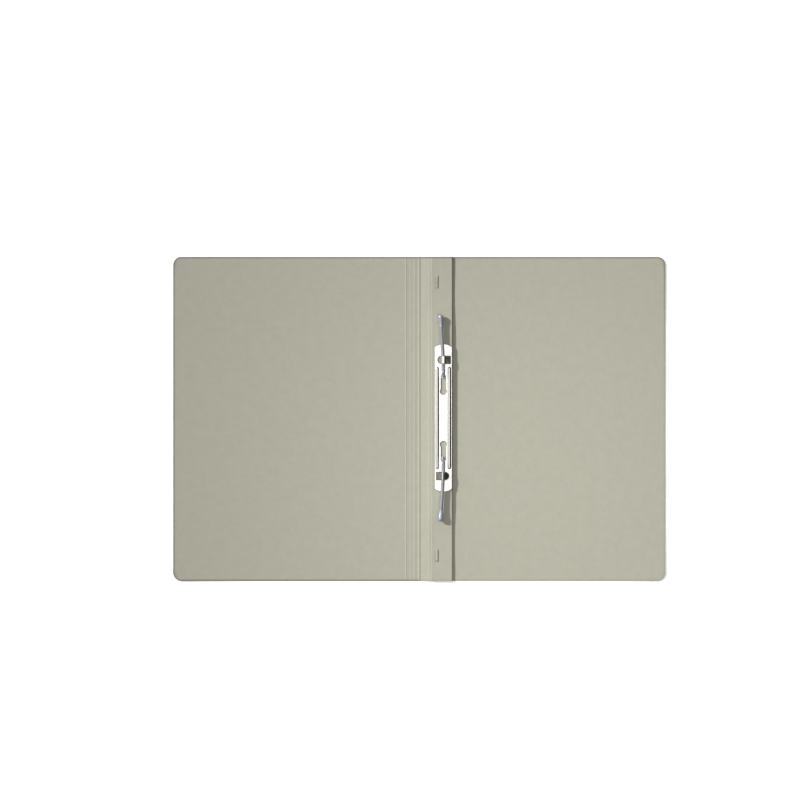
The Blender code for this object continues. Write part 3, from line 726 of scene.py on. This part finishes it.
def build_card(material):
    """The folder's one sheet of card, as five sheets that each bend at one crease."""
    back = card_sheet("card_back", back_line(), BACK_HIGH[0])
    cut_low = STRIP_MIDDLE - CARD
    cut_high = STRIP_MIDDLE + CARD
    tab_ys = [side * (PAGE_HALF - TAB_FROM_EDGE) for side in SIDES.values()]
    cuts = []
    for side in SIDES.values():
        centre = (MECHANISM_X, MECHANISM_Y + side * ROOT_Y)
        hole = arc(centre, PRONG_HOLE / 2, 0, 2 * math.pi, 2 * ARC_STEPS)[:-1]
        cuts.append(stack([(hole, cut_low), (hole, cut_high)]))
    for tab_y in tab_ys:
        slit_x = TAB_X + (TAB_OPEN_SIDE - TAB_SLIT) / 2
        slit = rectangle((slit_x, tab_y), TAB_WIDTH + TAB_SLIT + TAB_OPEN_SIDE, TAB_LENGTH)
        cuts.append(stack([(slit, cut_low), (slit, cut_high)]))
    combine(back, cuts, "DIFFERENCE")
    combine(back, [bridge_tab(tab_y) for tab_y in tab_ys], "UNION")
    settle_strip(back)

    seams = [
        seam_x("rear_crease", "centre_crease"),
        seam_x("centre_crease", "fill_score_1"),
        seam_x("fill_score_1", "fill_score_2"),
        seam_x("fill_score_2", "front_crease"),
    ]
    ridge = [CREASE_X["centre_crease"] + offset for offset, _ in reversed(CENTRE_RIDGE)]
    centre = card_sheet("card_centre", panel_line(seams[0], *ridge, seams[1]))
    fill_1 = card_sheet("card_fill_1", panel_line(seams[1], CREASE_X["fill_score_1"], seams[2]))
    fill_2 = card_sheet("card_fill_2", panel_line(seams[2], CREASE_X["fill_score_2"], seams[3]))
    front_x = CREASE_X["front_crease"]
    flat_x = front_x - FLAT_FROM_CREASE
    front_line = panel_line(seams[3], front_x, flat_x, FRONT_LOW[0] + CORNER_RADIUS)
    front = card_sheet("card_front", front_line, FRONT_LOW[0])

    bends = (
        (back, "rear_crease", "back", "rear_spine"),
        (centre, "centre_crease", "rear_spine", "spine_1"),
        (fill_1, "fill_score_1", "spine_1", "spine_2"),
        (fill_2, "fill_score_2", "spine_2", "spine_3"),
        (front, "front_crease", "spine_3", "front"),
    )
    for thing, crease, rear_body, front_body in bends:
        card_marks(thing)
        dress(thing, material)
        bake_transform(thing)
    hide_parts("back_cover", "pleat_return", "filing_strip")
    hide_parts("spine_rear")
    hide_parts("spine_panel_1")
    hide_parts("spine_panel_2")
    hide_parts("spine_panel_3", "front_cover")


def printed_band(x_from, x_to, y_from, y_to):
    """Thin raised band of ink that follows the outer face of the front cover."""
    long_x = abs(x_to - x_from) > abs(y_to - y_from)
    length = max(abs(x_to - x_from), abs(y_to - y_from))
    rings = []
    for share in np.linspace(0, 1, 2 + int(length / PRINT_STEP)):
        if long_x:
            x = x_from + (x_to - x_from) * share
            sides = [(x, y_from), (x, y_to)]
        else:
            y = y_from + (y_to - y_from) * share
            sides = [(x_from, y), (x_to, y)]
        low = [(*side, PRINT_LOW + cover_rise(*side)) for side in sides]
        high = [(*side, PRINT_HIGH + cover_rise(*side)) for side in sides[::-1]]
        rings.append(low + high)
    return loft(rings)


def build_print(material):
    """Ruled lines of the front: one down the spine side, title and note lines, and a plain bar as a mark."""
    half = RULE_WIDTH / 2
    bands = [printed_band(-SPINE_RULE_X - half, -SPINE_RULE_X + half, SPINE_RULE_BOTTOM, SPINE_RULE_TOP)]
    note_lines = [NOTE_LINES_TOP - NOTE_LINE_STEP * index for index in range(NOTE_LINE_COUNT)]
    thin = LINE_WIDTH / 2
    for y in (*TITLE_LINES_Y, *note_lines):
        bands.append(printed_band(-LINE_END_X, -LINE_START_X, y - thin, y + thin))
    bands.append(printed_band(-MARK_X[1], -MARK_X[0], *MARK_Y))
    ink = dress(add_piece("front_print", *join_parts(bands)), material)
    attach(ink, "front")


# Fastener


def bar_outline(inset=0.0):
    """Plan of the bar: straight sides and shallow round ends."""
    full_radius = (BAR_HALF_WIDTH**2 + BAR_END_ARC**2) / (2 * BAR_END_ARC)
    radius = full_radius - inset
    reach = math.asin((BAR_HALF_WIDTH - inset) / radius)
    centre = (0, BAR_HALF - full_radius)
    top = arc(centre, radius, math.pi / 2 - reach, math.pi / 2 + reach, 2 * ARC_STEPS)
    return top + [(-x, -y) for x, y in top]


def keyhole_outline(side, grow=0.0):
    """Round entry, and the slot that runs out from it to the prong's root."""
    round_radius = KEYHOLE_DIAMETER / 2 + grow
    slot_radius = KEYHOLE_SLOT / 2 + grow
    entry = math.asin(slot_radius / round_radius)
    up = math.pi / 2
    inner = (0, ROOT_Y - KEYHOLE_THROW)
    outer = (0, ROOT_Y + KEYHOLE_END_CLEARANCE)
    points = arc(inner, round_radius, up + entry, up + 2 * math.pi - entry, 3 * ARC_STEPS)
    points += arc(outer, slot_radius, 0, math.pi, 2 * ARC_STEPS)
    return [(side * x, side * y) for x, y in points]


def window_outline(side, grow=0.0):
    """Gap that a hook leaves in the bar: square at the hook's root, round at its free end."""
    radius = HOOK_WIDTH / 2 + HOOK_SLIT
    centre = (HOOK_END_X - HOOK_WINDOW_REACH + radius, HOOK_Y)
    points = arc(centre, radius + grow, math.pi / 2, math.pi * 3 / 2, 2 * ARC_STEPS)
    root_x = HOOK_ROOT_X + grow
    points += [(root_x, HOOK_Y - radius - grow), (root_x, HOOK_Y + radius + grow)]
    return [(side * x, side * y) for x, y in points]


def eased_cut(outline, side):
    """Cutter through the bar that eases the hole's upper edge."""
    return stack(
        [
            (outline(side), BAR_BASE - BAR_SHEET),
            (outline(side), BAR_TOP - BAR_ROUND_DEPTH),
            (outline(side, 2 * BAR_ROUND), BAR_TOP + BAR_ROUND_DEPTH),
        ]
    )


def capsule(radius, half_length, x, z):
    """Round-ended rod along Y."""
    stretch = half_length - radius
    rings = []
    for end in (-1, 1):
        for step in range(RIB_RINGS):
            share = (step + 0.5) / RIB_RINGS
            angle = math.pi / 2 * (share - 1 if end < 0 else share)
            y = end * stretch + radius * math.sin(angle)
            around = arc((x, z), radius * math.cos(angle), 0, 2 * math.pi, RIB_SEGMENTS)[:-1]
            rings.append([(px, y, pz) for px, pz in around])
    return loft(rings)


def hook(side):
    """Tongue that rises from the bar to a crown, and curves down over the spiral to its round free end."""
    low = BAR_BASE + BAR_SHEET / 2
    high = PRONG_Z + COIL_DIAMETER / 2 + HOOK_CLEARANCE + BAR_SHEET / 2
    radius = HOOK_WIDTH / 2
    crown = HOOK_ROOT_X - HOOK_SLOPE_RUN
    corners = [
        (HOOK_ROOT_X + HOOK_ROOT_OVERLAP, low),
        (HOOK_ROOT_X, low),
        (crown, high),
        (crown - HOOK_CROWN_WIDTH, high - HOOK_CROWN_DROP),
        (HOOK_END_X, high - HOOK_LIP_DROP),
    ]
    arch = bent_line(corners, [HOOK_ROOT_RADIUS, HOOK_CROWN_RADIUS, HOOK_LIP_RADIUS])
    round_from = HOOK_END_X + radius
    line = [point for point in arch if point[0] > round_from]
    widths = [radius] * len(line)
    places = [x for x, _ in reversed(arch)]
    heights = [z for _, z in reversed(arch)]
    for step in range(ARC_STEPS):
        angle = math.pi / 2 * step / ARC_STEPS
        x = round_from - radius * math.sin(angle)
        line.append((x, float(np.interp(x, places, heights))))
        widths.append(radius * math.cos(angle))

    def place(along, across, height):
        return (side * along, side * (HOOK_Y + across), height)

    return bent_strip(line, place, widths, BAR_SHEET - 2 * WELD_INSET, HOOK_EDGE)


def build_bar(material):
    """Pressed bar: plate with eased edges, two hollow ribs, two keyholes and two lanced hooks."""
    plate = [
        (bar_outline(), BAR_BASE - BAR_SHEET),
        (bar_outline(), BAR_TOP - BAR_ROUND_DEPTH),
        (bar_outline(BAR_ROUND), BAR_TOP),
        (bar_outline(2 * BAR_ROUND), BAR_TOP),
    ]
    bar = add_piece("fastener_bar", *stack(plate))
    rib_x = BAR_HALF_WIDTH - RIB_EDGE_MARGIN - RIB_WIDTH / 2
    rib_half = HOOK_Y - HOOK_WIDTH / 2 - HOOK_SLIT - RIB_TO_WINDOW
    outer = (RIB_WIDTH**2 / 4 + RIB_HEIGHT**2) / (2 * RIB_HEIGHT)
    middle_z = BAR_TOP + RIB_HEIGHT - outer
    half = rib_half + outer - RIB_WIDTH / 2
    combine(bar, [capsule(outer, half, x, middle_z) for x in (rib_x, -rib_x)], "UNION")
    waste = rectangle((0, 0), 4 * BAR_HALF_WIDTH, 3 * BAR_HALF)
    combine(bar, [stack([(waste, BAR_BASE - 2 * outer), (waste, BAR_BASE)])], "DIFFERENCE")
    inner = outer - BAR_SHEET
    combine(bar, [capsule(inner, half - BAR_SHEET, x, middle_z) for x in (rib_x, -rib_x)], "DIFFERENCE")
    holes = (keyhole_outline, window_outline)
    cuts = [eased_cut(outline, side) for outline in holes for side in SIDES.values()]
    combine(bar, cuts, "DIFFERENCE")
    combine(bar, [hook(side) for side in SIDES.values()], "UNION")
    shift(bar, MECHANISM_X, MECHANISM_Y)
    dress(bar, material, BAR_SHARP_ANGLE)
    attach(bar, "back")
    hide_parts("cover_bar")


def prong_point(distance, side):
    """Centre line of a spiral from the strip's top at its root: point, unit direction and curvature."""
    bend = PRONG_Z - STRIP_TOP
    quarter = bend * math.pi / 2
    root_y = MECHANISM_Y + side * ROOT_Y
    if distance <= 0:
        return Vector((MECHANISM_X, root_y, STRIP_TOP + distance)), Vector((0, 0, 1)), 0.0
    if distance < quarter:
        angle = distance / bend
        y = root_y + side * bend * (1 - math.cos(angle))
        z = STRIP_TOP + bend * math.sin(angle)
        return Vector((MECHANISM_X, y, z)), Vector((0, side * math.sin(angle), math.cos(angle))), 1 / bend
    run = distance - quarter
    full_run = PRONG_REACH - TIP_LENGTH - bend
    share = run / full_run
    bow = PRONG_BOW * share * share * (1 + PRONG_BOW_EASE * (1 - share))
    lean = PRONG_BOW * share * (2 + PRONG_BOW_EASE * (2 - 3 * share)) / full_run
    point = Vector((MECHANISM_X - bow, root_y + side * (bend + run), PRONG_Z))
    direction = Vector((-lean, side, 0)).normalized()
    return point, direction, 0.0


def prong_length():
    """Length of a spiral's centre line from the strip's top to the back of its cap."""
    bend = PRONG_Z - STRIP_TOP
    return bend * math.pi / 2 + PRONG_REACH - TIP_LENGTH - bend


def coil_points(side):
    """Middle of the wound wire, from inside the collar to inside the cap."""
    step_angle = 2 * math.pi / POINTS_PER_CURL
    distance = -COIL_SUNK
    angle = 0.0
    points = []
    while distance < prong_length() + COIL_INTO_CAP:
        centre, direction, curvature = prong_point(distance, side)
        across = Vector((1, 0, 0))
        out = (across - direction * across.dot(direction)).normalized()
        other = direction.cross(out)
        points.append(centre + COIL_RADIUS * (math.cos(angle) * out + math.sin(angle) * other))
        distance += COIL_PITCH / POINTS_PER_CURL / (1 - curvature * COIL_RADIUS)
        angle += step_angle
    return points


def wire_mesh(points, radius):
    """Closed round wire along points, without a twist."""
    path = np.array([tuple(point) for point in points])
    along = np.gradient(path, axis=0)
    along /= np.linalg.norm(along, axis=1)[:, None]
    angles = np.linspace(0, 2 * math.pi, WIRE_SIDES, endpoint=False)
    normal = np.cross(along[0], (0.0, 0.0, 1.0))
    if np.linalg.norm(normal) < UPRIGHT_LIMIT:
        normal = np.cross(along[0], (1.0, 0.0, 0.0))
    rings = []
    for centre, direction in zip(path, along):
        normal = normal - direction * normal.dot(direction)
        normal /= np.linalg.norm(normal)
        other = np.cross(direction, normal)
        rings.append([centre + radius * (math.cos(a) * normal + math.sin(a) * other) for a in angles])
    return loft(rings)


def cap_profile():
    """Half section of a cap as (distance, radius): crimped neck, swelling body and round nose."""
    neck = TIP_NECK_DIAMETER / 2
    belly = TIP_DIAMETER / 2
    belly_at = TIP_LENGTH - belly
    ease = TIP_RING_DEPTH
    profile = [(0.0, neck - ease), (ease / 2, neck - ease / 3), (ease, neck)]
    for share in np.linspace(0, 1, TIP_STEPS):
        groove = TIP_RING_DEPTH * math.sin(math.pi * share) ** 2
        along = TIP_NECK_LENGTH * (TIP_RING_FROM + TIP_RING_SPAN * share)
        profile.append((along, neck - groove))
    for share in np.linspace(0, 1, TIP_STEPS, endpoint=False):
        swell = (1 - math.cos(math.pi * share)) / 2
        along = TIP_NECK_LENGTH + share * (belly_at - TIP_NECK_LENGTH)
        profile.append((along, neck + swell * (belly - neck)))
    nose = arc((belly_at, 0.0), belly, math.pi / 2, 0.0, TIP_STEPS)
    return profile + nose[:-1]


def build_spirals(wire, cap_material):
    for name, side in SIDES.items():
        body = f"{name}_spiral"
        coil = add_piece(f"coil_{name}", *wire_mesh(coil_points(side), WIRE_DIAMETER / 2))
        dress(coil, wire)
        root = prong_point(0.0, side)[0]
        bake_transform(coil)
        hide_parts(f"spiral_{name}")

        back, direction, _ = prong_point(prong_length(), side)
        across = direction.cross(Vector((0, 0, 1)))
        rings = []
        for distance, radius in cap_profile():
            around = arc((0, 0), radius, 0, 2 * math.pi, TIP_SEGMENTS)[:-1]
            centre = back + direction * distance
            rings.append([centre + across * a + Vector((0, 0, b)) for a, b in around])
        cap = dress(add_piece(f"cap_{name}", *loft(rings)), cap_material)
        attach(cap, body)
        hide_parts(f"tip_{name}")


# Materials


def new_material(name):
    """A material with one Principled shader: the material, its node tree and the shader."""
    material = bpy.data.materials.new(name)
    material.use_nodes = True
    tree = material.node_tree
    return material, tree, tree.nodes["Principled BSDF"]


def add_node(tree, kind, values=None, **settings):
    """A node with its settings, and its sockets set to values or linked to other sockets."""
    node = tree.nodes.new(kind)
    for key, value in settings.items():
        setattr(node, key, value)
    for socket, value in (values or {}).items():
        connect(tree, value, node.inputs[socket])
    return node


def connect(tree, value, socket):
    """Link a socket to another one, or set it to a plain value."""
    if isinstance(value, bpy.types.NodeSocket):
        tree.links.new(value, socket)
    else:
        socket.default_value = value


def attribute(tree, name, output):
    return add_node(tree, "ShaderNodeAttribute", attribute_name=name).outputs[output]


def noise(tree, place, scale, detail, stretch=EVEN, turn=0.0):
    """Noise over a place, drawn out along the axes and then turned about Z."""
    turned = add_node(
        tree,
        "ShaderNodeMapping",
        {"Vector": place, "Rotation": (0.0, 0.0, turn), "Scale": stretch},
        vector_type="TEXTURE",
    )
    values = {"Vector": turned.outputs[0], "Scale": scale, "Detail": detail, "Roughness": NOISE_ROUGHNESS}
    return add_node(tree, "ShaderNodeTexNoise", values).outputs["Fac"]


def spread(tree, value, low, high, to_low, to_high):
    """A value between low and high carried over to another range."""
    values = {"Value": value, "From Min": low, "From Max": high, "To Min": to_low, "To Max": to_high}
    return add_node(tree, "ShaderNodeMapRange", values).outputs[0]


def mixed(tree, share, one, other):
    """Colour between two colours, which are inputs 6 and 7 and output 2 of the node."""
    node = add_node(tree, "ShaderNodeMix", data_type="RGBA")
    connect(tree, share, node.inputs[0])
    connect(tree, one, node.inputs[6])
    connect(tree, other, node.inputs[7])
    return node.outputs[2]


def maths(tree, operation, one, other):
    node = add_node(tree, "ShaderNodeMath", operation=operation)
    connect(tree, one, node.inputs[0])
    connect(tree, other, node.inputs[1])
    return node.outputs[0]


def bumped(tree, shader, height, strength, distance):
    values = {"Height": height, "Strength": strength, "Distance": distance}
    connect(tree, add_node(tree, "ShaderNodeBump", values).outputs[0], shader.inputs["Normal"])


def card_material():
    """Grey-beige board: cloudy, with short fibres and paler on the creases; painted shade darkens the cut
    edge, the strip's nose and the ramp.
    """
    material, tree, shader = new_material("card")
    place = attribute(tree, "rest", "Vector")
    cloud = spread(tree, noise(tree, place, CLOUD_SCALE, CLOUD_DETAIL), *CLOUD_RANGE, 0.0, 1.0)
    grain = noise(tree, place, GRAIN_SCALE, GRAIN_DETAIL)
    fibres = noise(tree, place, FIBRE_SCALE, FIBRE_DETAIL, FIBRE_STRETCH, FIBRE_TURN)
    others = noise(tree, place, FIBRE_SCALE, FIBRE_DETAIL, FIBRE_STRETCH, -2 * FIBRE_TURN)
    pale = spread(tree, fibres, *FIBRE_RANGE, 0.0, FIBRE_SHARE)
    dark = spread(tree, others, *FIBRE_RANGE, 0.0, FIBRE_SHARE)
    tint = mixed(tree, cloud, CARD_LOW_TONE, CARD_HIGH_TONE)
    tint = mixed(tree, pale, tint, CARD_PALE_FIBRE)
    tint = mixed(tree, dark, tint, CARD_DARK_FIBRE)
    worn = maths(tree, "MULTIPLY", attribute(tree, "crease", "Fac"), CREASE_SHARE)
    tint = mixed(tree, worn, tint, CARD_CREASE_TONE)
    # Painted shade that dims the ramp
    tint = mixed(tree, attribute(tree, "ramp", "Fac"), tint, CARD_RAMP_SHADE_TONE)
    # Painted shade on the cut edges and the strip's nose
    cut = maths(tree, "MULTIPLY", attribute(tree, "rim", "Fac"), EDGE_SHADE_SHARE)
    connect(tree, mixed(tree, cut, tint, CARD_EDGE_SHADE_TONE), shader.inputs["Base Color"])
    connect(tree, spread(tree, grain, *GRAIN_RANGE, *CARD_ROUGHNESS), shader.inputs["Roughness"])
    shader.inputs["Specular IOR Level"].default_value = CARD_SPECULAR
    relief = maths(tree, "ADD", grain, maths(tree, "MULTIPLY", fibres, FIBRE_RELIEF))
    bumped(tree, shader, relief, CARD_BUMP, GRAIN_DEPTH)
    return material


def metal_material(name, tone, roughness, stretch, metallic=1.0):
    """Plated or drawn metal, with fine lines along one axis and uneven gloss."""
    material, tree, shader = new_material(name)
    place = add_node(tree, "ShaderNodeTexCoord").outputs["Object"]
    lines = noise(tree, place, LINE_SCALE, LINE_DETAIL, stretch)
    cloud = noise(tree, place, SMEAR_SCALE, SMEAR_DETAIL)
    streaks = maths(tree, "MULTIPLY", lines, GLOSS_SHARE)
    smears = maths(tree, "MULTIPLY", cloud, GLOSS_SHARE)
    gloss = maths(tree, "ADD", streaks, smears)
    connect(tree, spread(tree, gloss, *GLOSS_RANGE, *roughness), shader.inputs["Roughness"])
    dull = tuple(value * METAL_DULL for value in tone[:3]) + (1.0,)
    connect(tree, mixed(tree, cloud, tone, dull), shader.inputs["Base Color"])
    shader.inputs["Metallic"].default_value = metallic
    bumped(tree, shader, lines, SCRATCH_BUMP, SCRATCH_DEPTH)
    return material


def ink_material():
    """Matt black print that lets a little of the board's grain through."""
    material, tree, shader = new_material("ink")
    place = add_node(tree, "ShaderNodeTexCoord").outputs["Object"]
    grain = noise(tree, place, GRAIN_SCALE, INK_DETAIL)
    thin = spread(tree, grain, *INK_THIN_RANGE, 0.0, INK_THIN_SHARE)
    connect(tree, mixed(tree, thin, INK_TONE, INK_THIN_TONE), shader.inputs["Base Color"])
    shader.inputs["Roughness"].default_value = INK_ROUGHNESS
    return material


def floor_material():
    """White paper ground that stays white in the picture."""
    material, _, shader = new_material("floor")
    shader.inputs["Base Color"].default_value = FLOOR_TONE
    shader.inputs["Roughness"].default_value = FLOOR_ROUGHNESS
    shader.inputs["Specular IOR Level"].default_value = 0.0
    shader.inputs["Emission Color"].default_value = WHITE
    shader.inputs["Emission Strength"].default_value = FLOOR_GLOW
    return material


# Stage


def build_floor():
    corners = rectangle((0, 0), FLOOR_SIZE, FLOOR_SIZE)
    floor = add_piece("floor", [(x, y, -FLOOR_DROP) for x, y in corners], [(0, 1, 2, 3)])
    floor.data.materials.append(floor_material())


def build_camera():
    data = bpy.data.cameras.new("camera")
    data.type = "PERSP"
    data.sensor_width = SENSOR_WIDTH
    data.lens = SENSOR_WIDTH * (CAMERA_HEIGHT - INNER_FACE) / FRAME_WIDTH
    data.clip_end = CLIP_END
    data.dof.use_dof = False
    camera = bpy.data.objects.new("camera", data)
    camera.location = (*FRAME_CENTRE, CAMERA_HEIGHT)
    bpy.context.scene.collection.objects.link(camera)
    bpy.context.scene.camera = camera


def aim(thing, target):
    """Turn a light so that it shines from its place to a target."""
    way = Vector(target) - thing.location
    thing.rotation_euler = way.to_track_quat("-Z", "Y").to_euler()


def soft_box(name, size, place, power):
    """Flat lamp that shines straight down."""
    lamp = bpy.data.lights.new(name, "AREA")
    lamp.shape = "RECTANGLE"
    lamp.size, lamp.size_y = size
    lamp.energy = power
    box = bpy.data.objects.new(name, lamp)
    box.location = place
    box.visible_camera = False
    bpy.context.scene.collection.objects.link(box)
    return box


def build_lights():
    """Low key light from the left, a box that fills, one that metal mirrors, and a half-bright room."""
    sun = bpy.data.lights.new("key", "SUN")
    sun.energy = KEY_STRENGTH
    sun.angle = KEY_ANGLE
    key = bpy.data.objects.new("key", sun)
    key.location = KEY_FROM
    aim(key, (0, 0, 0))
    bpy.context.scene.collection.objects.link(key)
    soft_box("fill", FILL_SIZE, FILL_PLACE, FILL_POWER).visible_glossy = False
    soft_box("shine", SHINE_SIZE, SHINE_PLACE, SHINE_POWER).visible_diffuse = False

    world = bpy.data.worlds.new("room")
    world.use_nodes = True
    tree = world.node_tree
    way = add_node(tree, "ShaderNodeTexCoord").outputs["Generated"]
    facing = add_node(tree, "ShaderNodeVectorMath", operation="DOT_PRODUCT")
    connect(tree, way, facing.inputs[0])
    connect(tree, ROOM_SIDE, facing.inputs[1])
    side = facing.outputs["Value"]
    room = spread(tree, side, *ROOM_EDGE, ROOM_DARK, ROOM_BRIGHT)
    wall = spread(tree, side, *WALL_EDGE, 0.0, WALL_GLOW)
    height = add_node(tree, "ShaderNodeSeparateXYZ", {"Vector": way}).outputs["Z"]
    above = spread(tree, height, *HORIZON, HORIZON_GLOW, 1.0)
    background = tree.nodes["Background"]
    background.inputs["Color"].default_value = WHITE
    glow = maths(tree, "MULTIPLY", maths(tree, "ADD", room, wall), above)
    seen = add_node(tree, "ShaderNodeLightPath").outputs["Is Camera Ray"]
    connect(tree, maths(tree, "MAXIMUM", glow, seen), background.inputs["Strength"])
    bpy.context.scene.world = world


def main():
    card = card_material()
    nickel = metal_material("nickel", NICKEL_TONE, NICKEL_ROUGHNESS, ALONG_Y)
    wire = metal_material("spiral_wire", WIRE_TONE, WIRE_ROUGHNESS, EVEN, WIRE_METAL)
    cap = metal_material("spiral_cap", CAP_TONE, CAP_ROUGHNESS, EVEN, CAP_METAL)
    steel = metal_material("base_steel", STEEL_TONE, STEEL_ROUGHNESS, ALONG_Y)
    build_card(card)
    build_print(ink_material())
    build_bar(nickel)
    build_spirals(wire, cap)
    plate = bpy.data.objects["base_plate"]
    dress(plate, steel)
    build_floor()
    build_camera()
    build_lights()
    bpy.context.scene.view_settings.view_transform = "Standard"


main()
